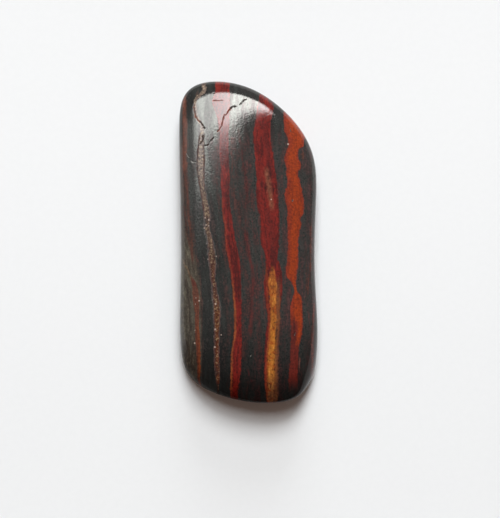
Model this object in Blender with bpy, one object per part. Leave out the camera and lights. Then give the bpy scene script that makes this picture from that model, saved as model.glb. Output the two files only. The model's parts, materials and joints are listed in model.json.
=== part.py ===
"""A tumbled slice of banded ironstone: one closed solid that rests on a small flat spot.

X runs across the bands, Y along the stone, Z up from the table. The origin lies on the
table under the middle of the stone. The solid starts as a cube, is cut into small squares
and rounded to a unit sphere, and every point of the sphere is then carried to the stone.
"""

import bmesh
import bpy
import numpy as np

MM = 0.001

LENGTH = 31.72 * MM
RIM_HEIGHT = 2.1 * MM      # the widest outline stands this far above the table
CROWN_HEIGHT = 2.1 * MM    # the crown stands this far above the widest outline
REST_CUT = 0.07 * MM       # worn off the lowest bulge, which leaves the flat spot
CORNER_DROP = 0.60         # share of the rim's height lost at the two lower corners
END_RISE = 0.30            # share of the rim's height gained in the middle of that end

# The outline: place along the stone, left edge and right edge, in millimetres.
OUTLINE_MM = (
    (-15.3, -1.9, 4.45),
    (-14.4, -4.4, 5.4),
    (-13.2, -5.85, 6.1),
    (-11.5, -6.45, 6.5),
    (-8.5, -6.65, 6.64),
    (-3.0, -6.55, 6.46),
    (4.0, -6.55, 6.68),
    (8.4, -6.6, 6.44),
    (11.4, -6.6, 4.95),
    (13.8, -6.35, 2.6),
    (15.3, -5.3, 0.0),
)

END_BLUNTNESS = 1.25       # 1 gives the ends of an ellipse, more gives blunter ones
CROWN_DOME = 0.57          # 0 gives a flat crown with rounded shoulders, 1 a full dome
BELLY_DOME = 0.60          # the same for the underside
CUBE_CUTS = 19             # cuts along one side of the starting cube

STONE_COLOUR = (0.045, 0.037, 0.035, 1.0)
STONE_ROUGHNESS = 0.18


def clear_scene():
    for obj in list(bpy.data.objects):
        bpy.data.objects.remove(obj, do_unlink=True)


def natural_spline(places, values):
    """A smooth curve through the points, as a function of the place."""
    places, values = np.asarray(places), np.asarray(values)
    gaps = np.diff(places)
    slopes = np.diff(values) / gaps
    matrix = np.eye(len(places))
    wanted = np.zeros(len(places))
    for i in range(1, len(places) - 1):
        matrix[i, i - 1 : i + 2] = gaps[i - 1], 2 * (gaps[i - 1] + gaps[i]), gaps[i]
        wanted[i] = 6 * (slopes[i] - slopes[i - 1])
    bends = np.linalg.solve(matrix, wanted)

    def curve(at):
        i = int(np.clip(np.searchsorted(places, at) - 1, 0, len(gaps) - 1))
        past = at - places[i]
        slope = slopes[i] - gaps[i] * (2 * bends[i] + bends[i + 1]) / 6
        bend_change = (bends[i + 1] - bends[i]) / gaps[i]
        return values[i] + slope * past + bends[i] / 2 * past**2 + bend_change / 6 * past**3

    return curve


def along_stone(b):
    """Place along the stone of a point of the unit sphere whose Y is b."""
    return LENGTH / 2 * (END_BLUNTNESS * b - (END_BLUNTNESS - 1) * b**3)


def outline_curves():
    """Half width on the sphere's own circles, and the middle of the width, along b."""
    b_samples = np.linspace(-1, 1, 2001)
    places, half_widths, middles = [], [], []
    for y_mm, left_mm, right_mm in OUTLINE_MM:
        b = float(np.interp(y_mm * MM, along_stone(b_samples), b_samples))
        places.append(b)
        half_widths.append((right_mm - left_mm) / 2 * MM / np.sqrt(1 - b**2))
        middles.append((right_mm + left_mm) / 2 * MM)
    return natural_spline(places, half_widths), natural_spline(places, middles)


def bulge(c, dome):
    """Rise from the rim, 0 to 1, of a point whose height on the unit sphere is c."""
    rounded_slab = 1 - (1 - c) ** 2
    return dome * c + (1 - dome) * rounded_slab


def rim_height(a, b):
    """Height of the widest outline, which sinks and rises round the lower end."""
    low = min(b, 0.0)
    return RIM_HEIGHT * (1 - CORNER_DROP * (2 * a * low) ** 8 + END_RISE * low**8)


def stone_point(a, b, c, half_width, middle):
    """Where the point (a, b, c) of the unit sphere goes on the stone."""
    x = middle(b) + half_width(b) * a
    y = along_stone(b)
    rim = rim_height(a, b)
    if c >= 0:
        z = rim + (RIM_HEIGHT + CROWN_HEIGHT - rim) * bulge(c, CROWN_DOME)
    else:
        z = rim - (rim + REST_CUT) * bulge(-c, BELLY_DOME)
    return x, y, max(z, 0.0)


def make_stone_mesh():
    work = bmesh.new()
    bmesh.ops.create_cube(work, size=2)
    bmesh.ops.subdivide_edges(work, edges=work.edges[:], cuts=CUBE_CUTS, use_grid_fill=True)
    half_width, middle = outline_curves()
    for vert in work.verts:
        # Even angles between the squares of the cube keep them alike on the sphere.
        direction = vert.co.copy()
        for axis in range(3):
            direction[axis] = np.tan(direction[axis] * np.pi / 4)
        a, b, c = direction.normalized()
        vert.co = stone_point(a, b, c, half_width, middle)
    mesh = bpy.data.meshes.new("stone")
    work.to_mesh(mesh)
    work.free()
    mesh.shade_smooth()
    return mesh


def make_stone_material():
    material = bpy.data.materials.new("polished ironstone")
    material.use_nodes = True
    shader = material.node_tree.nodes["Principled BSDF"]
    shader.inputs["Base Color"].default_value = STONE_COLOUR
    shader.inputs["Roughness"].default_value = STONE_ROUGHNESS
    shader.inputs["Metallic"].default_value = 0.0
    return material


def main():
    clear_scene()
    collection = bpy.data.collections.new("banded ironstone")
    bpy.context.scene.collection.children.link(collection)
    stone = bpy.data.objects.new("stone", make_stone_mesh())
    stone.data.materials.append(make_stone_material())
    collection.objects.link(stone)


main()
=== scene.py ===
import json
import math

import bpy
import numpy as np
from mathutils import Matrix, Vector, noise

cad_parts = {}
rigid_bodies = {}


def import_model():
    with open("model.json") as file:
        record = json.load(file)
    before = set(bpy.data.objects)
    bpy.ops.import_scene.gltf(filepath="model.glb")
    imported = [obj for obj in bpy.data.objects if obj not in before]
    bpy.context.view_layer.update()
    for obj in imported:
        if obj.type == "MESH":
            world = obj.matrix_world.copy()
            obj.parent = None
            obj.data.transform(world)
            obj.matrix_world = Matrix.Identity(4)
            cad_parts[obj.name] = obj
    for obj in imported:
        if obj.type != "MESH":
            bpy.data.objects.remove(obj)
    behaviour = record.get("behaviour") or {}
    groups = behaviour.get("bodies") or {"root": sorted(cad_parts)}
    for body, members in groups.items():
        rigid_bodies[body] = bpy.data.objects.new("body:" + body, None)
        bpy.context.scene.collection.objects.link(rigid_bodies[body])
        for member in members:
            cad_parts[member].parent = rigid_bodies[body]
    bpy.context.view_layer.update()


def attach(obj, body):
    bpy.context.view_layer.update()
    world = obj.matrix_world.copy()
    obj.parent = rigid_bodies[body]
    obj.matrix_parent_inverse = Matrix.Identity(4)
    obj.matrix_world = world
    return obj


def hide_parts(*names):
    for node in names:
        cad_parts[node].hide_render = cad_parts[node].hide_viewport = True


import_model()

mm = 0.001

# A tumbled, polished slice of banded ironstone. X runs across the bands, Y along the
# stone, Z up from the floor it lies on. Every size below is in millimetres.
stoneForm = {
    "name": "polishedStone",
    "length": 31.72,
    "rimHeight": 2.1,        # the widest outline stands this far above the floor
    "crownHeight": 2.1,      # the crown stands this far above the widest outline
    "restCut": 0.07,         # worn off the lowest bulge, which leaves the flat spot
    "endBluntness": 1.25,    # 1 gives the ends of an ellipse, more gives blunter ones
    "crownDome": 0.57,       # 0 gives a flat crown with rounded shoulders, 1 a full dome
    "bellyDome": 0.60,
    "cornerDrop": 0.60,      # share of the rim's height lost at the two lower corners
    "endRise": 0.30,         # share gained in the middle of that end
    # place along the stone, left edge, right edge; the lower left corner is drawn in a
    # little more than the solid's
    "outline": (
        (-15.3, -1.9, 4.45), (-14.4, -4.05, 5.4), (-13.2, -5.58, 6.1), (-11.5, -6.4, 6.5),
        (-8.5, -6.65, 6.64), (-3.0, -6.55, 6.46), (4.0, -6.55, 6.68), (8.4, -6.6, 6.44),
        (11.4, -6.6, 4.95), (13.8, -6.35, 2.6), (15.3, -5.3, 0.0),
    ),
    "firstCuts": (19, 35, 13),   # across, along and through the starting cube
    "secondCuts": 3,             # then every square again
    "fineCuts": 3,               # and once more beside cracks, pits and the vein
    "besideCrack": 0.22,         # how far the finer squares reach beside each of them
    "besideSpot": 0.12,
    "besideVein": 0.1,
    "fineTop": 0.6,              # finer squares only this far above the rim
    "polishLoss": 0.012,         # the polished skin lies this far inside the solid
    "unevenness": 0.008,
    "unevenSpacing": 3.2,
    "restSkin": 0.4,             # below this height the weathering fades out
}

# What the stone has been through: lines and spots, by their place on the crown (X, Y).
stoneMarks = {
    "blackCracks": {
        "lines": (
            ((0.0, 13.8), (-0.2, 13.65), (-0.4, 13.45), (-0.55, 13.25), (-0.7, 13.15)),
            ((-0.9, 13.0), (-1.15, 13.0), (-1.35, 12.95), (-1.5, 12.8)),
            ((-3.2, 9.9), (-3.3, 9.75), (-3.5, 9.6), (-3.6, 9.45), (-3.7, 9.25),
             (-3.85, 9.15), (-4.05, 9.1)),
            ((-4.5, 11.5), (-4.35, 11.3), (-4.2, 11.1), (-4.1, 10.8)),
            ((-4.25, 10.1), (-4.25, 9.7), (-4.45, 9.45), (-4.55, 9.3)),
        ),
        "width": 0.10, "depth": 0.010,
    },
    "rustCracks": {
        "lines": (
            ((-1.5, 12.8), (-1.65, 12.65), (-1.85, 12.35), (-1.95, 12.2), (-2.15, 12.05),
             (-2.25, 11.8), (-2.3, 11.5), (-2.4, 11.1), (-2.5, 10.85), (-2.65, 10.65),
             (-2.85, 10.45)),
            ((-3.2, 13.6), (-2.8, 13.6), (-2.25, 13.65)),
            ((-5.1, 13.3), (-5.1, 12.6), (-4.95, 12.1), (-4.75, 11.7), (-4.5, 11.5)),
        ),
        "width": 0.10, "depth": 0.006,
    },
    "paleScratches": {
        "lines": (
            ((-5.85, 8.5), (-5.75, 8.2), (-5.6, 8.05)),
            ((-5.45, 7.7), (-5.2, 7.5), (-4.9, 7.45)),
        ),
        "width": 0.06, "depth": 0.012,
    },
    # X, Y, radius
    "pits": (
        (-3.15, 14.4, 0.09), (-4.75, 7.95, 0.09), (-4.15, 7.9, 0.08), (-4.05, 4.45, 0.08),
        (2.0, -5.75, 0.08), (2.8, -5.8, 0.08), (2.6, -8.25, 0.07), (2.55, -10.6, 0.06),
        (-5.15, -7.2, 0.08), (-4.1, 0.6, 0.07), (-5.2, -9.4, 0.06),
    ),
    "pitDepth": 0.008,
    "veinGrit": 0.001,       # depth of the vein's rough ground
    "veinEnd": 14.7,
    "raggedness": 0.07,      # how far the cracks stray from their lines
    "specks": (
        (4.0, 9.2, 0.10), (2.3, 3.7, 0.09), (-5.2, -10.1, 0.07), (-5.15, -8.85, 0.06),
        (-5.05, -5.75, 0.08), (-4.75, -6.05, 0.09), (-5.1, -6.35, 0.06),
        (-4.1, 2.0, 0.09), (-3.75, 1.8, 0.10), (-4.0, 1.3, 0.07), (-4.2, 1.0, 0.08),
        (-3.75, 1.2, 0.07), (-3.05, -1.8, 0.07), (-3.85, -2.05, 0.06), (-3.15, -6.4, 0.09),
        (-3.2, -8.85, 0.10), (-3.25, -10.55, 0.09), (-2.65, -9.4, 0.06),
        (-3.3, -7.3, 0.06), (-3.4, -6.0, 0.06),
    ),
}

# Left and right edge of each band, as (place along the stone, place across it).
bandEdges = {
    "vein": (
        ((15.5, -4.5), (14.8, -4.45), (14.1, -5.0), (13.6, -5.2), (12.8, -5.15), (12.0, -5.0),
         (11.5, -4.75), (11.0, -4.5), (10.1, -4.55), (8.7, -4.72), (6.7, -4.78), (5.0, -4.55),
         (3.3, -4.25), (1.3, -4.12), (-0.7, -3.80), (-2.6, -3.62), (-3.6, -3.50), (-5.5, -3.4),
         (-7.5, -3.23), (-12.7, -3.25), (-14.4, -3.12)),
        ((15.5, -4.05), (14.8, -4.0), (14.0, -4.6), (13.6, -4.95), (12.7, -4.9), (12.0, -4.75),
         (11.5, -4.4), (11.0, -4.2), (9.4, -4.25), (6.8, -4.25), (5.4, -4.27), (4.2, -4.05),
         (2.3, -3.70), (1.3, -3.72), (-0.7, -3.38), (-1.7, -3.20), (-3.6, -3.22), (-5.6, -3.0),
         (-6.5, -2.82), (-8.4, -2.85), (-11.3, -2.95), (-13.7, -2.95), (-14.4, -3.05)),
    ),
    "leftRed": (
        ((15.4, -3.15), (14.4, -3.15), (13.7, -3.35), (12.7, -3.15), (11.6, -2.75),
         (9.1, -2.65), (6.2, -2.55), (3.9, -2.5), (2.2, -2.4), (0.7, -2.2), (-0.7, -2.15),
         (-2.4, -1.85), (-4.1, -1.6), (-5.6, -1.45), (-9.2, -1.4), (-10.9, -1.7),
         (-12.8, -1.8), (-15.1, -1.95)),
        ((15.4, -1.75), (13.7, -1.7), (9.1, -1.8), (6.1, -1.7), (3.9, -1.7), (2.2, -1.5),
         (0.7, -1.35), (-0.7, -1.05), (-2.4, -0.8), (-4.1, -0.7), (-9.3, -0.7), (-10.9, -0.7),
         (-12.8, -0.85), (-15.1, -1.2)),
    ),
    "middleRed": (
        ((13.9, 1.15), (12.4, 0.95), (11.1, 0.75), (9.9, 0.6), (8.6, 0.75), (6.3, 0.85),
         (2.7, 1.0), (2.0, 1.2), (-0.8, 1.3), (-1.4, 1.55), (-2.0, 1.7), (-3.2, 1.7),
         (-4.2, 1.55), (-6.6, 1.65), (-8.0, 1.8), (-9.9, 1.55), (-11.8, 1.45), (-13.3, 1.4),
         (-15.7, 1.5)),
        ((14.2, 1.95), (13.3, 2.5), (11.8, 2.35), (9.9, 2.25), (8.6, 2.45), (6.3, 2.75),
         (5.2, 2.9), (-0.8, 3.0), (-2.0, 2.85), (-3.2, 3.2), (-5.1, 3.25), (-6.6, 3.05),
         (-8.7, 2.9), (-11.8, 2.65), (-15.7, 2.5)),
    ),
    "gold": (
        ((-2.4, 2.25), (-3.4, 2.15), (-4.2, 1.95), (-5.1, 1.95), (-7.1, 2.1), (-8.0, 2.1),
         (-10.4, 1.8), (-13.7, 1.7), (-15.7, 1.55)),
        ((-2.4, 2.35), (-3.4, 2.55), (-4.2, 2.7), (-5.1, 2.9), (-8.0, 2.9), (-10.4, 2.7),
         (-13.7, 2.6), (-15.7, 2.5)),
    ),
    "orange": (
        ((12.2, 3.5), (10.6, 3.6), (9.9, 3.9), (9.3, 4.0), (8.4, 3.75), (7.8, 3.6),
         (6.8, 3.75), (6.3, 3.7), (5.1, 3.9), (4.6, 3.65), (3.8, 3.6), (2.5, 3.85),
         (1.7, 3.75), (1.1, 3.82), (-2.4, 3.68), (-3.2, 3.58), (-3.9, 3.66), (-4.2, 4.0),
         (-5.1, 4.35), (-5.7, 4.25), (-6.3, 4.05), (-6.9, 3.95), (-8.5, 4.0), (-10.9, 3.9),
         (-14.8, 3.6)),
        ((12.2, 5.8), (9.7, 5.45), (9.1, 5.4), (8.7, 4.95), (7.9, 4.9), (7.0, 5.2),
         (6.4, 4.9), (5.6, 5.0), (4.2, 5.3), (2.4, 5.35), (1.9, 5.05), (1.3, 5.15),
         (0.5, 4.9), (-2.4, 4.75), (-3.2, 4.65), (-5.1, 4.6), (-5.8, 5.0), (-7.2, 5.1),
         (-8.9, 5.05), (-10.9, 4.7), (-14.8, 4.5)),
    ),
    "thread": (
        ((-3.6, -5.6), (-5.0, -5.45), (-5.9, -5.38), (-6.9, -5.25), (-9.1, -5.2),
         (-11.2, -5.1), (-14.0, -5.15)),
        ((-3.6, -5.4), (-4.5, -5.0), (-5.0, -4.88), (-6.0, -4.8), (-9.2, -4.78),
         (-11.3, -4.72), (-14.0, -4.9)),
    ),
    # The fibrous stretch low on the left: its colour is partly painted reflection of the floor.
    "fibresAndReflection": (
        ((16.0, -7.0), (-16.0, -7.0)),
        ((3.9, -6.05), (0.9, -5.6), (-1.1, -5.3), (-2.3, -5.05), (-3.3, -4.85), (-4.5, -4.7),
         (-6.0, -4.65), (-11.7, -4.6), (-14.0, -4.85)),
    ),
}

# Thin streaks that run along the layers, under the bands and on them. Each has its path, as
# (place along, place across), its width and softness, its colour, how much it covers and
# how broken it is.
streaksBelow = (
    (((14.5, -6.3), (12.4, -6.15), (10.3, -6.12), (8.4, -6.15), (6.6, -6.15)),
     0.46, 0.12, (0.135, 0.042, 0.024), 0.95, 0.15),
    (((6.9, -6.1), (4.9, -5.95), (2.4, -5.75), (-0.1, -5.5), (-1.9, -5.4)),
     0.22, 0.1, (0.09, 0.026, 0.016), 0.8, 0.3),
    (((3.5, -6.3), (1.9, -6.1), (0.4, -5.85), (-1.1, -5.6), (-2.3, -5.4)),
     0.2, 0.1, (0.06, 0.018, 0.012), 0.9, 0.3),
    (((10.6, -0.8), (8.6, -0.5), (7.1, -0.35), (5.1, -0.05), (3.4, 0.0)),
     0.22, 0.1, (0.062, 0.014, 0.012), 0.8, 0.5),
    (((3.6, -0.05), (1.5, -0.1), (-0.4, -0.2)), 0.4, 0.18, (0.07, 0.015, 0.013), 0.6, 0.4),
    (((3.7, -0.85), (0.2, -0.5)), 0.2, 0.12, (0.06, 0.02, 0.016), 0.5, 0.5),
    (((10.2, -1.5), (6.6, -1.4), (4.1, -1.3)), 0.16, 0.08, (0.09, 0.024, 0.016), 0.6, 0.7),
    (((0.4, -0.15), (-0.8, -0.1), (-1.7, 0.1), (-3.0, 0.35), (-4.2, 0.47), (-5.6, 0.41),
      (-7.1, 0.29), (-9.6, 0.15)),
     0.34, 0.16, (0.08, 0.016, 0.014), 0.9, 0.3),
    (((-12.8, -0.1), (-14.2, 0.15)), 0.14, 0.08, (0.08, 0.01, 0.012), 0.6, 0.4),
    (((9.2, -2.85), (4.0, -2.9)), 0.1, 0.05, (0.06, 0.016, 0.014), 0.7, 0.4),
    (((8.5, 6.0), (4.5, 6.05)), 0.22, 0.14, (0.06, 0.022, 0.022), 0.6, 0.3),
    (((-1.0, 5.5), (-5.2, 5.5)), 0.12, 0.07, (0.075, 0.022, 0.014), 0.6, 0.5),
    (((1.6, 6.0), (-2.1, 5.9), (-5.6, 5.6)), 0.15, 0.07, (0.1, 0.026, 0.016), 0.8, 0.4),
    (((-7.1, 5.65), (-8.6, 5.7)), 0.12, 0.06, (0.1, 0.022, 0.02), 0.7, 0.3),
    (((-6.3, 6.15), (-9.4, 6.0), (-12.2, 5.85), (-13.6, 5.75)),
     0.2, 0.08, (0.11, 0.028, 0.02), 0.85, 0.3),
    (((8.5, 5.35), (7.8, 5.35)), 0.16, 0.1, (0.14, 0.04, 0.02), 0.8, 0.2),
)
streaksAbove = (
    (((11.6, 1.55), (8.6, 2.0), (6.1, 2.3)), 0.34, 0.2, (0.062, 0.006, 0.005), 0.75, 0.5),
    (((6.7, 1.85), (5.1, 2.05), (3.6, 2.25), (2.8, 2.35)),
     0.36, 0.2, (0.2, 0.066, 0.034), 0.9, 0.3),
    (((3.9, -2.43), (2.2, -2.3), (0.7, -2.1), (-0.7, -2.05), (-2.4, -1.75), (-4.1, -1.5),
      (-5.6, -1.35), (-9.2, -1.3), (-10.9, -1.6), (-12.8, -1.7), (-15.1, -1.85)),
     0.12, 0.07, (0.19, 0.03, 0.012), 0.85, 0.3),
    (((-4.5, -1.46), (-5.6, -1.38), (-9.2, -1.32), (-10.9, -1.62), (-12.8, -1.72),
      (-14.4, -1.8)),
     0.16, 0.07, (0.23, 0.058, 0.016), 0.95, 0.25),
    (((4.3, 1.25), (2.0, 1.45), (-0.8, 1.6), (-2.0, 1.9), (-3.0, 1.9)),
     0.34, 0.16, (0.175, 0.0105, 0.006), 0.8, 0.2),
    (((2.6, 1.9), (0.4, 2.3), (-1.6, 2.45)), 0.4, 0.22, (0.082, 0.009, 0.007), 0.6, 0.4),
    (((-2.9, 1.75), (-6.5, 1.85), (-9.0, 1.95), (-12.5, 1.6), (-15.4, 1.6)),
     0.18, 0.1, (0.2, 0.034, 0.009), 0.85, 0.3),
    (((-4.0, 2.95), (-6.0, 2.85), (-9.0, 2.75), (-12.0, 2.6), (-15.4, 2.45)),
     0.38, 0.14, (0.1, 0.032, 0.015), 0.85, 0.3),
    (((-8.7, 2.65), (-10.0, 2.6)), 0.12, 0.06, (0.03, 0.012, 0.01), 0.8, 0.2),
    (((-7.7, 4.35), (-9.8, 4.25)), 0.14, 0.08, (0.055, 0.01, 0.008), 0.8, 0.2),
    (((-11.6, 4.75), (-12.7, 4.7)), 0.1, 0.05, (0.26, 0.07, 0.05), 0.7, 0.3),
    (((14.6, -4.85), (13.4, -5.05), (12.2, -5.05)),
     0.14, 0.08, (0.11, 0.032, 0.018), 0.85, 0.3),
    # These two pale streaks lie in the fibrous stretch on the left and are partly painted
    # reflection of the floor.
    (((-0.4, -6.25), (-1.8, -5.8)), 0.14, 0.08, (0.19, 0.165, 0.115), 0.6, 0.3),
    (((-2.0, -6.35), (-3.2, -5.8), (-4.8, -5.4)), 0.16, 0.1, (0.15, 0.085, 0.045), 0.75, 0.3),
)


def deselectAll():
    for item in bpy.context.scene.objects:
        item.select_set(False)


def makeActive(item):
    deselectAll()
    item.select_set(True)
    bpy.context.view_layer.objects.active = item


def naturalSpline(places, values):
    # A smooth curve through the points, for arrays of places.
    places = np.asarray(places, float)
    values = np.asarray(values, float)
    gaps = np.diff(places)
    slopes = np.diff(values) / gaps
    matrix = np.eye(len(places))
    wanted = np.zeros(len(places))
    for i in range(1, len(places) - 1):
        matrix[i, i - 1:i + 2] = gaps[i - 1], 2 * (gaps[i - 1] + gaps[i]), gaps[i]
        wanted[i] = 6 * (slopes[i] - slopes[i - 1])
    bends = np.linalg.solve(matrix, wanted)

    def curve(at):
        i = np.clip(np.searchsorted(places, at) - 1, 0, len(gaps) - 1)
        past = at - places[i]
        slope = slopes[i] - gaps[i] * (2 * bends[i] + bends[i + 1]) / 6
        bendChange = (bends[i + 1] - bends[i]) / gaps[i]
        return values[i] + slope * past + bends[i] / 2 * past**2 + bendChange / 6 * past**3

    return curve


def alongStone(b):
    blunt = stoneForm["endBluntness"]
    return stoneForm["length"] / 2 * (blunt * b - (blunt - 1) * b**3)


def bulge(c, dome):
    return dome * c + (1 - dome) * (1 - (1 - c) ** 2)


def ballToStone(ball):
    # Carries points of a ball of radius 1 to the stone, in millimetres.
    samples = np.linspace(-1, 1, 2001)
    stations, halfWidths, middles = [], [], []
    for along, left, right in stoneForm["outline"]:
        b = np.interp(along, alongStone(samples), samples)
        stations.append(b)
        halfWidths.append((right - left) / 2 / math.sqrt(1 - b**2))
        middles.append((right + left) / 2)
    halfWidth = naturalSpline(stations, halfWidths)
    middle = naturalSpline(stations, middles)
    a, b, c = ball.T
    rim, crown, cut = (stoneForm[key] for key in ("rimHeight", "crownHeight", "restCut"))
    top = rim + crown
    low = np.minimum(b, 0)
    rim = rim * (1 - stoneForm["cornerDrop"] * (2 * a * low) ** 8 + stoneForm["endRise"] * low**8)
    over = rim + (top - rim) * bulge(np.clip(c, 0, 1), stoneForm["crownDome"])
    under = rim - (rim + cut) * bulge(np.clip(-c, 0, 1), stoneForm["bellyDome"])
    z = np.maximum(np.where(c >= 0, over, under), 0)
    return np.stack([middle(b) + halfWidth(b) * a, alongStone(b), z], axis=1)


def readPoints(mesh):
    flat = np.empty(len(mesh.vertices) * 3)
    mesh.vertices.foreach_get("co", flat)
    return flat.reshape(-1, 3)


def writePoints(mesh, points):
    mesh.vertices.foreach_set("co", points.ravel())
    mesh.update()


def lineDistance(points, line):
    # Distance from each point (X, Y) to a bent line.
    nearest = np.full(len(points), 1e9)
    for start, end in zip(line, line[1:]):
        start = np.array(start)
        run = np.array(end) - start
        share = np.clip(((points - start) @ run) / (run @ run), 0, 1)
        gap = np.linalg.norm(points - start - share[:, None] * run, axis=1)
        nearest = np.minimum(nearest, gap)
    return nearest


def markDistance(points, lines):
    return np.min([lineDistance(points, line) for line in lines], axis=0)


def edgeAt(band, side, along):
    edge = sorted(bandEdges[band][side])
    return np.interp(along, [p[0] for p in edge], [p[1] for p in edge])


def unselectMesh():
    bpy.ops.object.mode_set(mode="EDIT")
    bpy.ops.mesh.select_all(action="DESELECT")
    bpy.ops.object.mode_set(mode="OBJECT")


def subdivideSelected(cuts):
    bpy.ops.object.mode_set(mode="EDIT")
    bpy.ops.mesh.subdivide(number_cuts=cuts)
    bpy.ops.object.mode_set(mode="OBJECT")


def cubeEdgesAlong(mesh, axis):
    # Selects the edges that run along one axis of the cube.
    for edge in mesh.edges:
        first, second = (mesh.vertices[i].co for i in edge.vertices)
        run = second - first
        edge.select = abs(run[axis]) > 0.9 * run.length


def nearMarks(points):
    # Where the mesh needs finer squares: cracks, scratches, pits and the pale vein.
    flat = points[:, :2]
    across, along = flat.T
    close = np.zeros(len(points), bool)
    for key in ("blackCracks", "rustCracks", "paleScratches"):
        close |= markDistance(flat, stoneMarks[key]["lines"]) < stoneForm["besideCrack"]
    for x, y, radius in stoneMarks["pits"] + stoneMarks["specks"]:
        close |= np.hypot(across - x, along - y) < radius + stoneForm["besideSpot"]
    left = edgeAt("vein", 0, along) - stoneForm["besideVein"]
    right = edgeAt("vein", 1, along) + stoneForm["besideVein"]
    close |= (across > left) & (across < right) & (abs(along) < stoneMarks["veinEnd"] + 0.2)
    return close & (points[:, 2] > stoneForm["rimHeight"] + stoneForm["fineTop"])


def cutStoneBlank():
    # A cube, cut into small squares and blown up to a ball.
    deselectAll()
    bpy.ops.mesh.primitive_cube_add(size=2, location=(0, 0, 0))
    stone = bpy.context.object
    mesh = stone.data
    stone.name = mesh.name = stoneForm["name"]
    bpy.context.tool_settings.mesh_select_mode = (False, True, False)
    for axis, cuts in enumerate(stoneForm["firstCuts"]):
        unselectMesh()
        cubeEdgesAlong(mesh, axis)
        subdivideSelected(cuts)
    bpy.ops.object.mode_set(mode="EDIT")
    bpy.ops.mesh.select_all(action="SELECT")
    subdivideSelected(stoneForm["secondCuts"])
    ball = np.tan(readPoints(mesh) * math.pi / 4)     # even angles keep the squares alike
    writePoints(mesh, ball / np.linalg.norm(ball, axis=1, keepdims=True))
    return stone


def refineBesideMarks(stone):
    mesh = stone.data
    middles = np.array([face.center for face in mesh.polygons])
    middles /= np.linalg.norm(middles, axis=1, keepdims=True)
    wanted = nearMarks(ballToStone(middles))
    bpy.context.tool_settings.mesh_select_mode = (False, False, True)
    unselectMesh()
    mesh.polygons.foreach_set("select", wanted)
    subdivideSelected(stoneForm["fineCuts"])
    unselectMesh()
    ball = readPoints(mesh)
    writePoints(mesh, ball / np.linalg.norm(ball, axis=1, keepdims=True))


def keepMask(mesh, name, values):
    mask = mesh.attributes.new(name, "FLOAT", "POINT")
    mask.data.foreach_set("value", values.astype(np.float32))


def unfold(mesh, points, outward):
    # Lays the skin flat for baking: the crown and the belly side by side, each with its
    # steep rim folded outwards.
    sheet, apart, folded = 42.0, 10.3, 0.8
    layer = mesh.uv_layers.new(name="OFBake")
    rim = stoneForm["rimHeight"]
    level = np.where(points[:, 2] > rim, rim + stoneForm["crownHeight"], 0)
    reach = abs(points[:, 2] - level)
    flat = points[:, :2] + outward[:, :2] * reach[:, None] * folded
    corners = np.empty(len(mesh.loops), int)
    mesh.loops.foreach_get("vertex_index", corners)
    isCrown = np.empty(len(mesh.loops), bool)
    for face in mesh.polygons:
        side = np.mean([points[i, 2] for i in face.vertices]) > rim
        isCrown[face.loop_start:face.loop_start + face.loop_total] = side
    u = np.where(isCrown, flat[corners, 0] - apart, -flat[corners, 0] + apart)
    uv = np.stack([u, flat[corners, 1]], axis=1) / sheet + 0.5
    layer.data.foreach_set("uv", uv.ravel())


def noiseAt(points, perMm):
    return np.array([noise.noise(Vector(p) * perMm) for p in points])


def spotShare(flat, spots, fullness, jitter):
    # 1 inside the spots, fading at their ragged rims.
    most = np.zeros(len(flat))
    for x, y, radius in spots:
        away = np.hypot(flat[:, 0] - x, flat[:, 1] - y) / radius
        most = np.maximum(most, np.clip(fullness - away + 0.5 * jitter, 0, 1))
    return most


def weatherStone(mesh, points, outward):
    # Waves of the polish, then cracks, scratches, pits and the grit of the vein.
    flat = points[:, :2]
    onCrown = points[:, 2] > stoneForm["rimHeight"]
    wave = noiseAt(points, 1 / stoneForm["unevenSpacing"])
    jitter = noiseAt(points, 4.0)
    shake = np.stack([noiseAt(points + shift, 6.0) for shift in (0.0, 3.7)], axis=1)
    shaken = flat + stoneMarks["raggedness"] * shake
    offset = stoneForm["unevenness"] * wave - stoneForm["polishLoss"]
    masks = {}
    for key in ("blackCracks", "rustCracks", "paleScratches"):
        mark = stoneMarks[key]
        wide = mark["width"] * (1 + 1.2 * jitter)
        share = np.clip(1 - markDistance(shaken, mark["lines"]) / wide, 0, 1) * onCrown
        offset -= mark["depth"] * share**0.7
        masks[key] = share
    masks["pits"] = spotShare(flat, stoneMarks["pits"], 1.2, jitter) * onCrown
    masks["specks"] = spotShare(flat, stoneMarks["specks"], 1.3, jitter) * onCrown
    offset -= stoneMarks["pitDepth"] * masks["pits"]
    across, along = flat.T
    insideVein = np.minimum(across - edgeAt("vein", 0, along), edgeAt("vein", 1, along) - across)
    veinShare = np.clip(insideVein / 0.12 + 0.5, 0, 1) * onCrown
    veinShare = veinShare * (abs(along) < stoneMarks["veinEnd"])
    offset += veinShare * stoneMarks["veinGrit"] * noiseAt(points, 7.0)
    for name, values in masks.items():
        keepMask(mesh, name, values)
    lift = np.clip(points[:, 2] / stoneForm["restSkin"], 0, 1)      # the flat spot stays flat
    moved = points + outward * (offset * lift)[:, None]
    moved[:, 2] = np.maximum(moved[:, 2], 0)
    return moved


def makeStone():
    stone = cutStoneBlank()
    refineBesideMarks(stone)
    mesh = stone.data
    points = ballToStone(readPoints(mesh))
    writePoints(mesh, points)
    outward = np.empty(len(mesh.vertices) * 3)
    mesh.vertices.foreach_get("normal", outward)
    outward = outward.reshape(-1, 3)
    unfold(mesh, points, outward)
    writePoints(mesh, weatherStone(mesh, points, outward) * mm)
    makeActive(stone)
    bpy.ops.object.shade_smooth()
    return stone


stone = makeStone()
print("stone cut:", len(stone.data.polygons), "faces")


# Node helpers: each adds one node and gives back its output.
def setInput(tree, socket, value):
    if isinstance(value, bpy.types.NodeSocket):
        tree.links.new(value, socket)
    elif value is not None:
        socket.default_value = value


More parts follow.
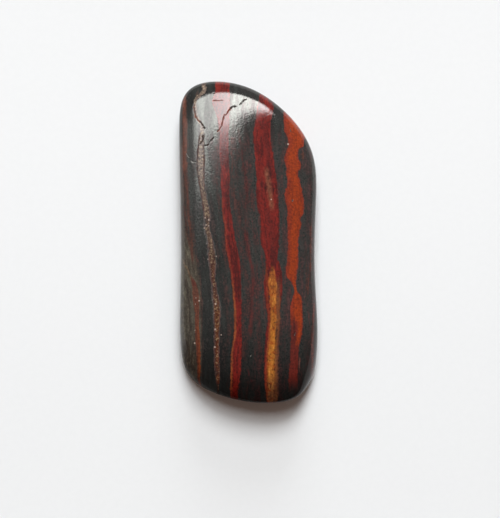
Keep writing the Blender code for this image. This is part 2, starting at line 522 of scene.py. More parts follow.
def calc(tree, operation, first, second=None, third=None, clamp=False):
    node = tree.nodes.new("ShaderNodeMath")
    node.operation = operation
    node.use_clamp = clamp
    for socket, value in zip(node.inputs, (first, second, third)):
        setInput(tree, socket, value)
    return node.outputs[0]


def product(tree, *shares):
    result = shares[0]
    for share in shares[1:]:
        result = calc(tree, "MULTIPLY", result, share)
    return result


def vectorCalc(tree, operation, first, second=None, scale=None):
    node = tree.nodes.new("ShaderNodeVectorMath")
    node.operation = operation
    setInput(tree, node.inputs[0], first)
    if operation == "SCALE":
        setInput(tree, node.inputs["Scale"], scale)
    else:
        setInput(tree, node.inputs[1], second)
    return node.outputs["Value" if operation in ("DOT_PRODUCT", "LENGTH") else "Vector"]


def ramp(tree, value, low, high, toLow=0.0, toHigh=1.0, smooth=True):
    node = tree.nodes.new("ShaderNodeMapRange")
    node.interpolation_type = "SMOOTHSTEP" if smooth else "LINEAR"
    for name, number in (("Value", value), ("From Min", low), ("From Max", high),
                         ("To Min", toLow), ("To Max", toHigh)):
        setInput(tree, node.inputs[name], number)
    return node.outputs["Result"]


def blend(tree, share, first, second, kind="RGBA"):
    node = tree.nodes.new("ShaderNodeMix")
    node.data_type = kind
    for name, value in (("Factor", share), ("A", first), ("B", second)):
        setInput(tree, node.inputs[name], value)
    return node.outputs["Result"]


def blendValue(tree, share, first, second):
    return blend(tree, share, first, second, "FLOAT")


def cloud(tree, place, scale, detail=2.0, roughness=0.5):
    node = tree.nodes.new("ShaderNodeTexNoise")
    for name, number in (("Vector", place), ("Scale", scale), ("Detail", detail),
                         ("Roughness", roughness)):
        setInput(tree, node.inputs[name], number)
    return node.outputs["Fac"]


def point(tree, x, y, z):
    node = tree.nodes.new("ShaderNodeCombineXYZ")
    for socket, value in zip(node.inputs, (x, y, z)):
        setInput(tree, socket, value)
    return node.outputs[0]


def objectPlace(tree):
    # Object coordinates in millimetres, whole and split into X, Y and Z.
    inMetres = tree.nodes.new("ShaderNodeTexCoord").outputs["Object"]
    place = vectorCalc(tree, "SCALE", inMetres, scale=1 / mm)
    split = tree.nodes.new("ShaderNodeSeparateXYZ")
    setInput(tree, split.inputs[0], place)
    return place, split.outputs


# The edge curves reach this far from the stone's middle, along it and across it.
alongReach = 16.0
acrossReach = 7.0


def placeCurve(tree, alongShare, points):
    # A band's edge: place across the stone as a curve of the place along it.
    node = tree.nodes.new("ShaderNodeFloatCurve")
    curve = node.mapping.curves[0]
    spots = sorted(((y + alongReach) / (2 * alongReach), (x + acrossReach) / (2 * acrossReach))
                   for y, x in points)
    if spots[0][0] > 0:
        spots.insert(0, (0.0, spots[0][1]))
    if spots[-1][0] < 1:
        spots.append((1.0, spots[-1][1]))
    curve.points[0].location = spots[0]
    curve.points[1].location = spots[-1]
    for x, y in spots[1:-1]:
        curve.points.new(x, y)
    node.mapping.update()
    setInput(tree, node.inputs["Value"], alongShare)
    return calc(tree, "MULTIPLY_ADD", node.outputs[0], 2 * acrossReach, -acrossReach)


def newGroup(name, inputs, outputs):
    # Each socket is a plain number, apart from Place, which is a vector.
    group = bpy.data.node_groups.new(name, "ShaderNodeTree")
    for labels, way in ((inputs, "INPUT"), (outputs, "OUTPUT")):
        for label in labels:
            kind = "NodeSocketVector" if label == "Place" else "NodeSocketFloat"
            group.interface.new_socket(label, in_out=way, socket_type=kind)
    given = group.nodes.new("NodeGroupInput").outputs
    out = group.nodes.new("NodeGroupOutput").inputs
    return group, given, out


def useGroup(tree, group, **values):
    node = tree.nodes.new("ShaderNodeGroup")
    node.node_tree = group
    for name, value in values.items():
        setInput(tree, node.inputs[name], value)
    return node.outputs


def makeBandGroup():
    # How far a place lies inside a band, and where it lies between the band's edges.
    group, given, out = newGroup("band between two edges", ("Across", "Left", "Right", "Soft"),
                                 ("Inside", "FromLeft", "Share"))
    fromLeft = calc(group, "SUBTRACT", given["Across"], given["Left"])
    fromRight = calc(group, "SUBTRACT", given["Right"], given["Across"])
    lowSoft = calc(group, "MULTIPLY", given["Soft"], -1.0)
    leftSide = ramp(group, fromLeft, lowSoft, given["Soft"])
    rightSide = ramp(group, fromRight, lowSoft, given["Soft"])
    wide = calc(group, "MAXIMUM", calc(group, "SUBTRACT", given["Right"], given["Left"]), 0.01)
    setInput(group, out["Inside"], calc(group, "MULTIPLY", leftSide, rightSide))
    setInput(group, out["FromLeft"], fromLeft)
    setInput(group, out["Share"], calc(group, "DIVIDE", fromLeft, wide))
    return group


def contrasted(group, value, contrast):
    past = calc(group, "SUBTRACT", value, 0.5)
    return calc(group, "MULTIPLY_ADD", past, contrast, 0.5, clamp=True)


def makeStreakGroup():
    # Noise drawn out along the layers: Width and Length are in millimetres.
    group, given, out = newGroup("streaks along the layers",
                                 ("Place", "Width", "Length", "Contrast"), ("Streak",))
    perWidth = calc(group, "DIVIDE", 1.0, given["Width"])
    perLength = calc(group, "DIVIDE", 1.0, given["Length"])
    drawnOut = vectorCalc(group, "MULTIPLY", given["Place"],
                          point(group, perWidth, perLength, perLength))
    streak = cloud(group, drawnOut, 1.0, 3.0, 0.55)
    setInput(group, out["Streak"], contrasted(group, streak, given["Contrast"]))
    return group


def makeGrainGroup():
    # Even grain, of the stone or of the floor: Size is in millimetres.
    group, given, out = newGroup("fine grain", ("Place", "Size", "Contrast"), ("Grain",))
    grain = cloud(group, given["Place"], calc(group, "DIVIDE", 1.0, given["Size"]), 2.0, 0.6)
    setInput(group, out["Grain"], contrasted(group, grain, given["Contrast"]))
    return group


def makeThinStreakGroup():
    # Share of one thin streak. Top and Bottom are its ends along the stone, Noise breaks it.
    fading = 0.8        # length of the fade at each end
    group, given, out = newGroup(
        "thin streak", ("Across", "Middle", "Along", "Top", "Bottom", "Width", "Soft", "Noise",
                        "Broken", "Cover"), ("Share",))
    off = calc(group, "ABSOLUTE", calc(group, "SUBTRACT", given["Across"], given["Middle"]))
    half = calc(group, "MULTIPLY", given["Width"], 0.5)
    share = ramp(group, off, calc(group, "ADD", half, given["Soft"]),
                 calc(group, "SUBTRACT", half, given["Soft"]))
    fadeIn = ramp(group, given["Along"], given["Top"],
                  calc(group, "SUBTRACT", given["Top"], fading))
    fadeOut = ramp(group, given["Along"], given["Bottom"],
                   calc(group, "ADD", given["Bottom"], fading))
    ends = calc(group, "MULTIPLY", fadeIn, fadeOut)
    gaps = calc(group, "MULTIPLY", ramp(group, given["Noise"], 0.60, 0.40), given["Broken"])
    whole = calc(group, "SUBTRACT", 1.0, gaps)
    setInput(group, out["Share"], product(group, share, ends, whole, given["Cover"]))
    return group


bandGroup = makeBandGroup()
streakGroup = makeStreakGroup()
grainGroup = makeGrainGroup()
thinStreakGroup = makeThinStreakGroup()

# Colours are linear red, green and blue.
stoneFinish = {
    "layerLean": 0.12,          # the layers lean this much through the thickness
    "leanLevel": 4.0,           # and are in place at this height
    "steel": (0.070, 0.072, 0.066, 1),
    "steelWorn": (0.040, 0.040, 0.038, 1),
    "steelMetal": 0.70,
    # what tints the steel between the bands: place across, colour, how much it covers
    "layers": (
        (-6.9, (0.062, 0.042, 0.030, 0.9)), (-6.3, (0.062, 0.030, 0.021, 0.75)),
        (-5.9, (0.070, 0.026, 0.018, 0.45)), (-5.6, (0.040, 0.032, 0.028, 0.05)),
        (-3.6, (0.050, 0.026, 0.022, 0.05)), (-2.9, (0.060, 0.022, 0.018, 0.30)),
        (-2.0, (0.060, 0.022, 0.018, 0.10)), (-1.3, (0.068, 0.022, 0.018, 0.38)),
        (-0.7, (0.060, 0.024, 0.020, 0.30)), (-0.2, (0.070, 0.022, 0.019, 0.42)),
        (0.4, (0.055, 0.024, 0.020, 0.15)), (1.2, (0.050, 0.024, 0.020, 0.05)),
        (3.2, (0.050, 0.026, 0.021, 0.08)), (5.2, (0.050, 0.026, 0.021, 0.12)),
        (5.9, (0.050, 0.026, 0.023, 0.32)), (6.8, (0.050, 0.027, 0.025, 0.40)),
    ),
    # how far the layers have drifted to the right, going down the stone
    "drift": ((16, -0.1), (12, -0.1), (8, 0.0), (4, 0.15), (0, 0.7), (-2, 1.0), (-5, 1.35),
              (-8, 1.45), (-12, 1.35), (-16, 1.1)),
    "jasper": (0.150, 0.0092, 0.0056, 1),
    "jasperDark": (0.062, 0.0050, 0.0040, 1),
    "jasperLight": (0.165, 0.0170, 0.0110, 1),
    "orangeMargin": (0.185, 0.0200, 0.0070, 1),
    "orangeHeart": (0.238, 0.0275, 0.0020, 1),
    "orangeLow": (0.100, 0.0120, 0.0075, 1),
    # colours along a band: place along the stone, colour
    "goldAlong": (
        (-15.6, (0.120, 0.042, 0.020)), (-14.4, (0.220, 0.075, 0.022)),
        (-13.0, (0.360, 0.125, 0.018)), (-9.6, (0.350, 0.115, 0.012)),
        (-8.0, (0.300, 0.080, 0.005)), (-6.4, (0.245, 0.042, 0.001)),
        (-5.2, (0.370, 0.115, 0.008)), (-4.0, (0.390, 0.135, 0.018)),
        (-2.8, (0.270, 0.070, 0.012)),
    ),
    "veinAlong": (
        (-14.2, (0.080, 0.022, 0.012, 0.30)), (-13.4, (0.110, 0.030, 0.012, 1.0)),
        (-13.0, (0.050, 0.018, 0.012, 0.35)), (-12.0, (0.100, 0.026, 0.012, 0.9)),
        (-10.4, (0.072, 0.019, 0.009, 0.95)), (-9.0, (0.105, 0.032, 0.012, 1.0)),
        (-7.6, (0.120, 0.038, 0.013, 1.0)), (-6.2, (0.088, 0.036, 0.022, 0.90)),
        (-4.8, (0.070, 0.022, 0.015, 0.85)), (-3.2, (0.095, 0.036, 0.022, 0.95)),
        (-1.6, (0.100, 0.058, 0.040, 1.0)), (0.5, (0.120, 0.070, 0.044, 1.0)),
        (2.9, (0.080, 0.040, 0.027, 0.85)), (4.6, (0.062, 0.034, 0.024, 0.70)),
        (5.8, (0.085, 0.056, 0.034, 0.80)), (6.8, (0.270, 0.215, 0.095, 0.95)),
        (8.8, (0.350, 0.300, 0.125, 0.95)), (9.6, (0.210, 0.165, 0.075, 0.60)),
        (12.4, (0.200, 0.160, 0.120, 0.05)), (13.8, (0.110, 0.050, 0.036, 0.35)),
        (14.6, (0.070, 0.038, 0.028, 0.60)), (15.3, (0.140, 0.100, 0.080, 0.70)),
    ),
    "threadAlong": (
        (-14.0, (0.070, 0.018, 0.011)), (-10.4, (0.105, 0.026, 0.013)),
        (-8.0, (0.108, 0.026, 0.011)), (-6.0, (0.085, 0.022, 0.014)),
        (-4.6, (0.100, 0.036, 0.022)),
    ),
    # the fibrous stretch low on the left: grey-brown partly from the fibres, partly painted
    # reflection of the floor
    "fibresAndReflectionAlong": (
        (-14.0, (0.050, 0.042, 0.032)), (-10.5, (0.048, 0.040, 0.030)),
        (-8.5, (0.062, 0.052, 0.038)), (-4.6, (0.090, 0.074, 0.056)),
        (-0.5, (0.092, 0.078, 0.054)),
    ),
    "goldLight": (0.480, 0.190, 0.030, 1),
    "goldDark": (0.110, 0.030, 0.010, 1),
    # streaks of that stretch, which is partly painted reflection of the floor
    "fibresAndReflectionDark": (0.034, 0.022, 0.016, 1),
    "fibresAndReflectionLight": (0.150, 0.125, 0.085, 1),
    "veinBorder": (0.042, 0.013, 0.010, 1),
    "veinGrain": (0.380, 0.300, 0.170, 1),
    "threadLine": (0.150, 0.036, 0.012, 1),
    "crackBlack": (0.020, 0.012, 0.010, 1),
    "crackRust": (0.120, 0.034, 0.018, 1),
    "speck": (0.520, 0.400, 0.330, 1),
    "scratch": (0.240, 0.230, 0.210, 1),
    "roughness": 0.045,
    "grainRoughness": 0.03,     # added where the grain is coarse
    "veinRoughness": 0.12,
    "wornRoughness": 0.85,      # in cracks and pits and beside the vein
    "refraction": 1.54,
    "dullRefraction": 1.04,     # on the rim of the lower left corner
    "specular": 0.5,
    "veinMirrors": 0.6,         # share of it left on the vein
    "wornMirrors": 0.24,        # and in cracks and pits and beside the vein
    "skinDepth": 0.0028,        # of the finest relief
}


def smoothStep(values, low, high):
    share = np.clip((values - low) / (high - low), 0, 1)
    return share**2 * (3 - 2 * share)


def keepMirroring(mesh):
    # How much of the full mirroring is left: less on the vein, least where it is worn.
    across, along, height = (readPoints(mesh) / mm).T
    across = across + stoneFinish["layerLean"] * (height - stoneFinish["leanLevel"])
    left, right = (edgeAt("vein", side, along) for side in (0, 1))
    fromLeft = across - left
    places, covers = zip(*((where, tone[3]) for where, tone in stoneFinish["veinAlong"]))
    gap = 0.70 - 0.55 * np.interp(along, places, covers)
    vein = smoothStep(fromLeft, -0.07, 0.07) * smoothStep(right - across, -0.07, 0.07)
    vein = vein * smoothStep(0.5, gap - 0.15, gap + 0.15)
    margin = smoothStep(fromLeft, -0.22, -0.04) * smoothStep(along, 10.6, 9.8)
    margin = margin * smoothStep(fromLeft / np.maximum(right - left, 0.01), 1.45, 1.05)
    worn = [margin * 0.8 * (0.9 - vein)]
    for name, low, high, most in (("blackCracks", 0.1, 0.5, 0.8), ("rustCracks", 0.1, 0.6, 0.7),
                                  ("pits", 0.2, 0.8, 0.9)):
        mask = np.empty(len(mesh.vertices), np.float32)
        mesh.attributes[name].data.foreach_get("value", mask)
        worn.append(most * smoothStep(mask, low, high))
    worn = np.max(worn, axis=0)
    mirrors = 1 + vein * (stoneFinish["veinMirrors"] - 1)
    keepMask(mesh, "mirroring", mirrors + worn * (stoneFinish["wornMirrors"] - mirrors))


def makeStoneMaterial():
    finish = stoneFinish
    material = bpy.data.materials.new("banded ironstone")
    material.use_nodes = True
    tree = material.node_tree
    shader = tree.nodes["Principled BSDF"]

    place, (x, y, z) = objectPlace(tree)
    alongShare = ramp(tree, y, -alongReach, alongReach, smooth=False)

    # Place across the layers, with ragged edges.
    lean = finish["layerLean"]
    leaning = calc(tree, "MULTIPLY_ADD", z, lean, -finish["leanLevel"] * lean)
    straight = calc(tree, "ADD", x, leaning)
    slow = cloud(tree, vectorCalc(tree, "MULTIPLY", place, (1.2, 0.6, 0.7)), 1.0, 2.0)
    quick = cloud(tree, vectorCalc(tree, "MULTIPLY", place, (4.5, 2.2, 3.0)), 1.0, 3.0)
    across = calc(tree, "ADD", straight, ramp(tree, slow, 0.2, 0.8, -0.05, 0.05, smooth=False))
    across = calc(tree, "ADD", across, ramp(tree, quick, 0.2, 0.8, -0.06, 0.06, smooth=False))

    # The same with the drift taken out, for what runs along the layers.
    driftWeight = ramp(tree, straight, -6.0, 5.5, 1.0, 0.25, smooth=False)
    drift = calc(tree, "MULTIPLY", placeCurve(tree, alongShare, finish["drift"]), driftWeight)
    flowing = calc(tree, "SUBTRACT", across, drift)
    layerPlace = point(tree, flowing, y, z)

    def streakNoise(width, length, contrast):
        return useGroup(tree, streakGroup, Place=layerPlace, Width=width, Length=length,
                        Contrast=contrast)[0]

    broadStreak = streakNoise(0.50, 3.2, 2.4)
    fineStreak = streakNoise(0.24, 1.1, 2.6)
    hairStreak = streakNoise(0.13, 0.35, 2.6)
    grain = useGroup(tree, grainGroup, Place=place, Size=0.19, Contrast=3.0)[0]
    blotch = useGroup(tree, grainGroup, Place=place, Size=0.55, Contrast=2.4)[0]
    breaks = blendValue(tree, 0.45, fineStreak, hairStreak)
    crumbs = blendValue(tree, 0.5, breaks, grain)
    ragged = cloud(tree, vectorCalc(tree, "MULTIPLY", place, (9.0, 5.0, 6.0)), 1.0, 2.0, 0.6)
    across = calc(tree, "ADD", across, ramp(tree, ragged, 0.25, 0.75, -0.05, 0.05, smooth=False))

    def band(name, soft):
        left, right = (placeCurve(tree, alongShare, edge) for edge in bandEdges[name])
        return useGroup(tree, bandGroup, Across=across, Left=left, Right=right, Soft=soft)

    def colourRamp(value, low, high, stops):
        # Two stops are there from the start, the others are added.
        node = tree.nodes.new("ShaderNodeValToRGB")
        elements = node.color_ramp.elements
        for i, (where, tone) in enumerate(stops):
            stop = elements[i] if i < 2 else elements.new(0.5)
            stop.position = (where - low) / (high - low)
            stop.color = tone if len(tone) == 4 else (*tone, 1)
        setInput(tree, node.inputs[0], ramp(tree, value, low, high, smooth=False))
        return node.outputs

    def several(*shares):
        return product(tree, *shares)

    def around(value, middle, soft):
        # Fades in where the value passes a middle that changes over the stone.
        return ramp(tree, value, calc(tree, "SUBTRACT", middle, soft),
                    calc(tree, "ADD", middle, soft))

    # Between the bands: steel-grey iron ore with thin brown and maroon layers. The tint
    # gathers in specks and short streaks, the more of them the more it covers.
    tint = colourRamp(flowing, -acrossReach, acrossReach, finish["layers"])
    speckled = blendValue(tree, 0.60, breaks, blendValue(tree, 0.7, grain, broadStreak))
    needed = calc(tree, "MULTIPLY_ADD", tint["Alpha"], -0.46, 0.73)
    tintShare = several(around(speckled, needed, 0.28), ramp(tree, y, 11.5, 8.5, 0.15, 1.0))
    steel = blend(tree, ramp(tree, speckled, 0.40, 0.60), finish["steel"], finish["steelWorn"])
    colour = blend(tree, tintShare, steel, tint["Color"])
    # Painted shade: the ore and its tint darken towards the lower end of the stone.
    colour = vectorCalc(tree, "SCALE", colour, scale=ramp(tree, y, -6.0, -14.0, 1.0, 0.45))
    stony = tintShare       # 1 where it isn't iron ore

    def lay(share, over):
        nonlocal colour, stony
        colour = blend(tree, share, colour, over)
        stony = calc(tree, "MAXIMUM", stony, share)

    def flecked(under, noise, low, high, share, name):
        # Lets a colour of the finish through where the noise passes from low to high.
        return blend(tree, ramp(tree, noise, low, high, 0.0, share), under, finish[name])

    # The fibrous stretch low on the left side; its grey-brown is partly the fibres and partly
    # painted reflection of the floor on the steep side.
    fibresAndReflection = several(band("fibresAndReflection", 0.12)["Inside"], ramp(tree, y, 1.0, -0.8))
    fibresAndReflectionColour = colourRamp(y, -alongReach, 2.0, finish["fibresAndReflectionAlong"])["Color"]
    fibresAndReflectionColour = flecked(fibresAndReflectionColour, broadStreak, 0.75, 0.25, 0.7, "fibresAndReflectionDark")
    fibresAndReflectionColour = flecked(fibresAndReflectionColour, breaks, 0.5, 0.9, 0.35, "fibresAndReflectionLight")
    lay(fibresAndReflection, fibresAndReflectionColour)

    def drawStreaks(streaks):
        overrun = 0.4       # each streak fades out a little past the ends of its path
        for path, width, soft, tone, cover, broken in streaks:
            middle = placeCurve(tree, alongShare, path)
            share = useGroup(tree, thinStreakGroup, Across=across, Middle=middle, Along=y,
                             Top=path[0][0] + overrun, Bottom=path[-1][0] - overrun,
                             Width=width, Soft=soft, Noise=breaks, Broken=broken,
                             Cover=cover)[0]
            lay(share, (*tone, 1))

    drawStreaks(streaksBelow)

    # The two jasper bands, with maroon veils and lighter margins.
    leftRed = band("leftRed", 0.06)
    middleRed = band("middleRed", 0.06)
    jasper = flecked(finish["jasper"], broadStreak, 0.55, 0.25, 0.9, "jasperDark")
    jasper = flecked(jasper, breaks, 0.5, 0.25, 0.6, "jasperDark")
    jasper = flecked(jasper, breaks, 0.6, 0.85, 0.6, "jasperLight")
    lay(leftRed["Inside"], jasper)
    leftLine = several(ramp(tree, leftRed["FromLeft"], 0.28, 0.10), ramp(tree, y, 3.0, 0.5),
                       leftRed["Inside"], 0.7)
    lay(leftLine, finish["jasperLight"])
    lay(middleRed["Inside"], jasper)

    # The orange band: red margins, orange heart, darker again low on the stone.
    orange = band("orange", 0.06)
    heart = several(ramp(tree, orange["Share"], 0.0, 0.45), ramp(tree, orange["Share"], 1.05, 0.80),
                    ramp(tree, breaks, 0.0, 0.6, 0.5, 1.0))
    orangeColour = blend(tree, heart, finish["orangeMargin"], finish["orangeHeart"])
    low = several(ramp(tree, y, -7.4, -8.8), ramp(tree, orange["Share"], 0.75, 0.45))
    low = calc(tree, "MAXIMUM", low, ramp(tree, y, -9.5, -11.0))
    orangeColour = blend(tree, low, orangeColour, finish["orangeLow"])
    lay(several(orange["Inside"], ramp(tree, y, -15.2, -13.4)), orangeColour)

    # The golden stretch of the middle band.
    gold = band("gold", 0.11)
    goldShare = several(gold["Inside"], ramp(tree, y, -2.6, -3.4),
                        ramp(tree, breaks, 0.05, 0.5, 0.75, 1.0))
    goldColour = colourRamp(y, -alongReach, -2.0, finish["goldAlong"])["Color"]
    goldColour = flecked(goldColour, blotch, 0.5, 0.1, 0.6, "orangeHeart")
    goldColour = flecked(goldColour, breaks, 0.58, 0.85, 0.7, "goldLight")
    goldColour = flecked(goldColour, crumbs, 0.34, 0.18, 0.8, "goldDark")
    lay(goldShare, goldColour)

    drawStreaks(streaksAbove)

    # The pale vein with its dark borders, and the rusty thread, both grainy.
    vein = band("vein", 0.07)
    border = several(ramp(tree, vein["FromLeft"], -0.22, -0.04),
                     ramp(tree, vein["Share"], 1.45, 1.05), ramp(tree, y, 10.6, 9.8),
                     ramp(tree, breaks, 0.25, 0.55, 0.25, 1.0))
    lay(border, finish["veinBorder"])
    veinTone = colourRamp(y, -alongReach, alongReach, finish["veinAlong"])
    veinGap = calc(tree, "MULTIPLY_ADD", veinTone["Alpha"], -0.55, 0.70)
    veinShare = several(vein["Inside"], around(crumbs, veinGap, 0.15))
    veinColour = flecked(veinTone["Color"], grain, 0.62, 0.90, 0.35, "veinGrain")
    veinColour = flecked(veinColour, crumbs, 0.47, 0.30, 0.70, "veinBorder")
    lay(veinShare, veinColour)
    thread = band("thread", 0.06)
    threadShare = several(thread["Inside"], ramp(tree, breaks, 0.10, 0.40, 0.75, 1.0),
                          ramp(tree, y, -3.2, -4.2))
    lay(threadShare, colourRamp(y, -alongReach, -2.0, finish["threadAlong"])["Color"])
    threadLine = several(ramp(tree, thread["Share"], 0.35, 0.70), thread["Inside"],
                         ramp(tree, y, -7.6, -9.0), ramp(tree, breaks, 0.1, 0.5, 0.5, 0.85))
    lay(threadLine, finish["threadLine"])

    # Cracks, pits and specks, from the masks on the mesh.
    def mask(name, low, high, smooth=True):
        node = tree.nodes.new("ShaderNodeAttribute")
        node.attribute_name = name
        return ramp(tree, node.outputs["Fac"], low, high, smooth=smooth)

    rust = several(mask("rustCracks", 0.1, 0.6), ramp(tree, crumbs, 0.25, 0.55, 0.1, 0.95))
    lay(rust, finish["crackRust"])
    lay(several(mask("specks", 0.2, 0.8), 0.85), finish["speck"])
    lay(several(mask("paleScratches", 0.1, 0.6), 0.8), finish["scratch"])
    dark = calc(tree, "MAXIMUM", several(mask("blackCracks", 0.1, 0.5),
                                        ramp(tree, crumbs, 0.25, 0.5, 0.25, 0.95)),
                several(mask("pits", 0.2, 0.8), 0.9))
    lay(dark, finish["crackBlack"])

    # Fine mottling, and painted shade: a darker end where the crown turns down.
    mottleAndEndShade = calc(tree, "MULTIPLY_ADD", grain, 0.50, calc(tree, "MULTIPLY_ADD", breaks, 0.60, 0.43))
    mottleAndEndShade = several(mottleAndEndShade, ramp(tree, y, -12.6, -15.2, 1.0, 0.5))
    setInput(tree, shader.inputs["Base Color"], vectorCalc(tree, "SCALE", colour, scale=mottleAndEndShade))

    # The ore is partly metallic. The rim is duller at the lower end, most of all at its left.
    dull = several(ramp(tree, z, 3.7, 2.7), ramp(tree, y, -9.0, -12.0),
                   ramp(tree, x, 5.5, -2.0, 0.4, 1.0))
    metal = ramp(tree, stony, 0.0, 1.0, finish["steelMetal"], 0.0, smooth=False)
    metal = several(metal, calc(tree, "MULTIPLY_ADD", dull, -0.9, 1.0))
    setInput(tree, shader.inputs["Metallic"], metal)
    beside = several(border, calc(tree, "SUBTRACT", 0.9, veinShare))
    worn = calc(tree, "MAXIMUM", calc(tree, "MAXIMUM", dark, rust), beside)
    rough = calc(tree, "MULTIPLY_ADD", grain, finish["grainRoughness"], finish["roughness"])
    rough = blendValue(tree, several(veinShare, grain), rough, finish["veinRoughness"])
    rough = blendValue(tree, worn, rough, finish["wornRoughness"])
    setInput(tree, shader.inputs["Roughness"], rough)
    bending = blendValue(tree, several(dull, 0.85), finish["refraction"], finish["dullRefraction"])
    setInput(tree, shader.inputs["IOR"], bending)
    shine = several(mask("mirroring", 0.0, 1.0, smooth=False), finish["specular"],
                    calc(tree, "MULTIPLY_ADD", dull, -0.7, 1.0))
    setInput(tree, shader.inputs["Specular IOR Level"], shine)

    skin = calc(tree, "MULTIPLY_ADD", hairStreak, 0.4, several(grain, 0.5))
    skin = calc(tree, "SUBTRACT", skin, several(veinShare, grain, 0.25))
    bump = tree.nodes.new("ShaderNodeBump")
    bump.inputs["Distance"].default_value = finish["skinDepth"] * mm
    setInput(tree, bump.inputs["Height"], skin)
    setInput(tree, shader.inputs["Normal"], bump.outputs[0])
    return material


keepMirroring(stone.data)
stone.data.materials.clear()
stone.data.materials.append(makeStoneMaterial())
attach(stone, "root")
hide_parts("stone")
print("stone finished")

# The pale floor, far wider than any view of the stone, with painted shade below the stone and
# painted light above it.
paperSheet = {
    "name": "paper",
    "width": 30000,
    "colour": (0.815, 0.815, 0.815),
    "paintedShadeNear": 0.955,       # painted shade: the floor is dimmer below the stone than above it
    "paintedLightFar": 1.02,
    "paintedFalloffSpan": (-28.0, 20.0),
    "evenSpan": (45.0, 130.0),       # further out the tone is the same all over
    "grainSize": 0.6,
}


def makePaper():
    deselectAll()
    bpy.ops.mesh.primitive_plane_add(size=paperSheet["width"] * mm)
    paper = bpy.context.object
    paper.name = paperSheet["name"]
    material = bpy.data.materials.new("pale paper")
    material.use_nodes = True
    tree = material.node_tree
    shader = tree.nodes["Principled BSDF"]
    place, (x, y, z) = objectPlace(tree)
    away = vectorCalc(tree, "LENGTH", place)
    grain = useGroup(tree, grainGroup, Place=place, Size=paperSheet["grainSize"], Contrast=1.5)[0]
    # Painted shade and light: the floor's colour dims below the stone and brightens above it,
    # fading out further away.
    tone = ramp(tree, y, *paperSheet["paintedFalloffSpan"], paperSheet["paintedShadeNear"], paperSheet["paintedLightFar"])
    tone = blendValue(tree, ramp(tree, away, *paperSheet["evenSpan"]), tone, 1.0)
    tone = calc(tree, "MULTIPLY", tone, ramp(tree, grain, 0.2, 0.8, 0.995, 1.005))
    setInput(tree, shader.inputs["Base Color"],
             vectorCalc(tree, "SCALE", paperSheet["colour"], scale=tone))
    shader.inputs["Roughness"].default_value = 1.0
    shader.inputs["Specular IOR Level"].default_value = 0.0
    paper.data.materials.append(material)
    return paper


makePaper()
print("floor laid")

# Daylight from a window behind the stone. The polish mirrors the window: each of its
# sides is a plane through the stone, given by its inward direction and by where the light
# fades in across it. A veil of haze lies beside it. Three wide, soft suns light the floor
# and cast the shadow.
roomLight = {
    "windowSides": (
        ((-0.712, 0.648, -0.270), -0.03, 0.02),
        ((0.372, -0.653, 0.660), -0.05, 0.005),
        ((-0.086, 0.948, -0.305), -0.040, 0.065),
        ((1.0, 0.0, 0.0), -0.66, -0.38),
        ((-1.0, 0.0, 0.0), -0.45, -0.37),
    ),
    "windowGlow": (9.5, 15.0),       # on its left and on its right
    "veilTowards": (-0.68, 0.23, 0.70),
    "veilFade": (0.70, 1.0),
    "veilLow": (0.17, 0.25),         # where it begins and ends, from front to back
    "veilHigh": (0.315, 0.27),
    "veilGlow": 0.95,
    "glowSpan": (-0.3, 0.2),
    "wallSpan": (-0.4, 0.35),        # the walls brighten from front to back
    "nearWall": 0.04,
    "farWall": 0.36,
    "allRound": (0.178, 0.128, 0.106, 1),
    # height above the floor, turn from straight behind to the right, share of the light
    "suns": ((48, 6, 0.49), (68, -6, 0.29), (12, 4, 0.12)),
    "sunWidth": 28,
    "sunColour": (0.950, 1.006, 1.033),
    "paperGlow": 0.905,
    "backdrop": (0.90, 0.90, 0.90, 1),
}


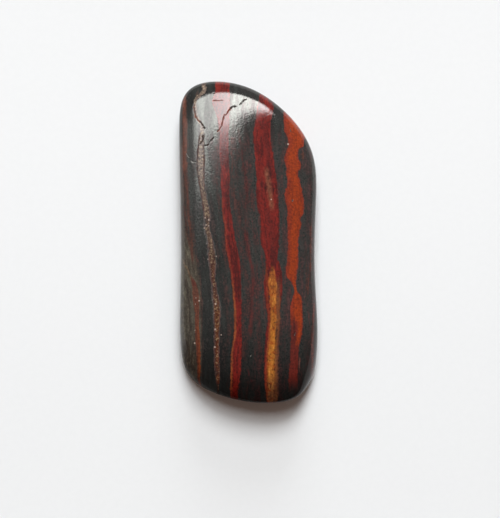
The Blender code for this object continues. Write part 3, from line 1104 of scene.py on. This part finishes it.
def makeRoom():
    world = bpy.data.worlds.new("room")
    bpy.context.scene.world = world
    world.use_nodes = True
    tree = world.node_tree
    tree.nodes.clear()
    towards = tree.nodes.new("ShaderNodeTexCoord").outputs["Generated"]
    split = tree.nodes.new("ShaderNodeSeparateXYZ")
    setInput(tree, split.inputs[0], towards)
    right, back, up = split.outputs

    def fadeAcross(inward, fadeFrom, fadeTo, most=1.0):
        depth = vectorCalc(tree, "DOT_PRODUCT", towards, inward)
        return ramp(tree, depth, fadeFrom, fadeTo, 0.0, most)

    window = product(tree, *(fadeAcross(*side) for side in roomLight["windowSides"]))
    veil = fadeAcross(roomLight["veilTowards"], *roomLight["veilFade"], roomLight["veilGlow"])
    veil = product(tree, veil, ramp(tree, back, *roomLight["veilLow"]),
                   ramp(tree, back, *roomLight["veilHigh"]))
    walls = ramp(tree, back, *roomLight["wallSpan"], roomLight["nearWall"], roomLight["farWall"])
    glow = ramp(tree, right, *roomLight["glowSpan"], *roomLight["windowGlow"])
    mirrored = calc(tree, "MULTIPLY_ADD", window, glow, walls)
    mirrored = calc(tree, "ADD", mirrored, veil)
    rays = tree.nodes.new("ShaderNodeLightPath").outputs
    lit = tree.nodes.new("ShaderNodeBackground")
    setInput(tree, lit.inputs["Color"],
             blend(tree, rays["Is Glossy Ray"], roomLight["allRound"], mirrored))
    plain = tree.nodes.new("ShaderNodeBackground")
    plain.inputs["Color"].default_value = roomLight["backdrop"]
    choice = tree.nodes.new("ShaderNodeMixShader")
    setInput(tree, choice.inputs[0], rays["Is Camera Ray"])
    setInput(tree, choice.inputs[1], lit.outputs[0])
    setInput(tree, choice.inputs[2], plain.outputs[0])
    output = tree.nodes.new("ShaderNodeOutputWorld")
    setInput(tree, output.inputs["Surface"], choice.outputs[0])


def makeSuns():
    for height, turn, share in roomLight["suns"]:
        deselectAll()
        bpy.ops.object.light_add(type="SUN", rotation=(math.radians(height - 90), 0,
                                                       math.radians(-turn)))
        sun = bpy.context.object
        sun.name = f"sunAt{height}"
        sun.data.angle = math.radians(roomLight["sunWidth"])
        sun.data.color = roomLight["sunColour"]
        glow = share * roomLight["paperGlow"] * math.pi / paperSheet["colour"][0]
        sun.data.energy = glow / math.sin(math.radians(height))
        sun.visible_glossy = False      # the window is what the polish mirrors


makeRoom()
makeSuns()
bpy.context.scene.view_settings.view_transform = "Standard"
print("room lit")

# The camera: a little in front of straight above.
photoView = {
    "looksAt": (0.185, -1.423, 0.0),
    "tilt": 9.5,
    "roll": -0.6,
    "distance": 250.0,
    "lens": 178.1,
    "sensor": 36.0,
}


def makeCamera():
    deselectAll()
    bpy.ops.object.camera_add()
    camera = bpy.context.object
    camera.name = "photoCamera"
    camera.data.lens = photoView["lens"]
    camera.data.sensor_width = photoView["sensor"]
    camera.data.clip_start = 0.01
    camera.data.clip_end = 100.0
    turned = (Matrix.Rotation(math.radians(photoView["tilt"]), 4, "X")
              @ Matrix.Rotation(math.radians(photoView["roll"]), 4, "Z"))
    back = turned.to_3x3() @ Vector((0, 0, photoView["distance"]))
    camera.matrix_world = Matrix.Translation((Vector(photoView["looksAt"]) + back) * mm) @ turned
    bpy.context.scene.camera = camera


makeCamera()
print("camera placed")
